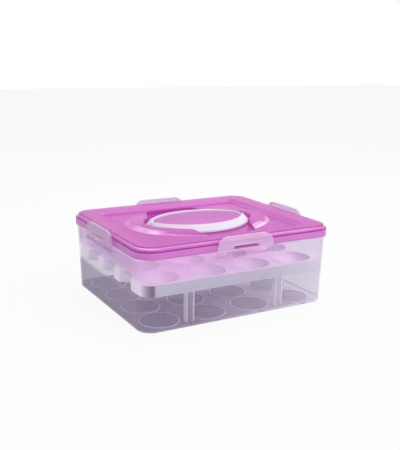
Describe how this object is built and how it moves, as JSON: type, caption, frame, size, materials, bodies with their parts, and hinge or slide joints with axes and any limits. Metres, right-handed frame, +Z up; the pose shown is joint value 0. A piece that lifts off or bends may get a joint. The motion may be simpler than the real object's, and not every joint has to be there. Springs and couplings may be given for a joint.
{
  "type": "tiered egg container",
  "caption": "Clear two-tier egg box with a lift-out bowl tray on legs, a tinted lid with a folding oval handle and swing-down side latches.",
  "frame": {"origin": "middle of the flat underside of the box", "axes": "+Z up, +X along the long side, -Y towards the front long side"},
  "size_m": [0.3156, 0.267, 0.1175],
  "materials": {
    "clear_shell": "clear",
    "milky_tray": "milky satin",
    "clear_leg": "clear",
    "pink_lid": "tinted",
    "white_handle": "satin",
    "frosted_latch": "frosted"
  },
  "bodies": {
    "box": {"box": "clear_shell"},
    "tray": {"egg_tray": "milky_tray", "tray_bowl_1_1": "milky_tray", "tray_bowl_1_2": "milky_tray", "tray_bowl_1_3": "milky_tray", "tray_bowl_1_4": "milky_tray", "tray_bowl_2_1": "milky_tray", "tray_bowl_2_2": "milky_tray", "tray_bowl_2_3": "milky_tray", "tray_bowl_2_4": "milky_tray", "tray_bowl_3_1": "milky_tray", "tray_bowl_3_2": "milky_tray", "tray_bowl_3_3": "milky_tray", "tray_bowl_3_4": "milky_tray", "tray_bowl_4_1": "milky_tray", "tray_bowl_4_2": "milky_tray", "tray_bowl_4_3": "milky_tray", "tray_bowl_4_4": "milky_tray", "tray_leg_front_left": "clear_leg", "tray_leg_front_right": "clear_leg", "tray_leg_rear_left": "clear_leg", "tray_leg_rear_right": "clear_leg"},
    "lid": {"lid": "pink_lid"},
    "handle_front": {"handle_front": "white_handle"},
    "handle_rear": {"handle_rear": "white_handle"},
    "latch_front": {"latch_front": "frosted_latch"},
    "latch_rear": {"latch_rear": "frosted_latch"},
    "latch_left": {"latch_left": "frosted_latch"},
    "latch_right": {"latch_right": "frosted_latch"}
  },
  "joints": [
    {"name": "lid_lift", "type": "slide", "parent": "box", "child": "lid", "axis": [0, 0, 1], "range_m": [0, 0.22]},
    {"name": "tray_lift", "type": "slide", "parent": "box", "child": "tray", "axis": [0, 0, 1], "range_m": [0, 0.11]},
    {"name": "handle_front_fold", "type": "hinge", "parent": "lid", "child": "handle_front", "pos_m": [0, -0.0053, 0.1095], "axis": [-1, 0, 0], "range_deg": [0, 90]},
    {"name": "handle_rear_fold", "type": "hinge", "parent": "lid", "child": "handle_rear", "pos_m": [0, 0.0053, 0.1095], "axis": [1, 0, 0], "range_deg": [0, 90]},
    {"name": "latch_front_swing", "type": "hinge", "parent": "box", "child": "latch_front", "pos_m": [0, -0.1307, 0.0932], "axis": [1, 0, 0], "range_deg": [0, 170]},
    {"name": "latch_rear_swing", "type": "hinge", "parent": "box", "child": "latch_rear", "pos_m": [0, 0.1307, 0.0932], "axis": [-1, 0, 0], "range_deg": [0, 170]},
    {"name": "latch_left_swing", "type": "hinge", "parent": "box", "child": "latch_left", "pos_m": [-0.155, 0, 0.0932], "axis": [0, -1, 0], "range_deg": [0, 170]},
    {"name": "latch_right_swing", "type": "hinge", "parent": "box", "child": "latch_right", "pos_m": [0.155, 0, 0.0932], "axis": [0, 1, 0], "range_deg": [0, 170]}
  ],
  "couplings": [
    {"joint": "tray_lift", "follows": "lid_lift", "ratio": 0.5}
  ]
}
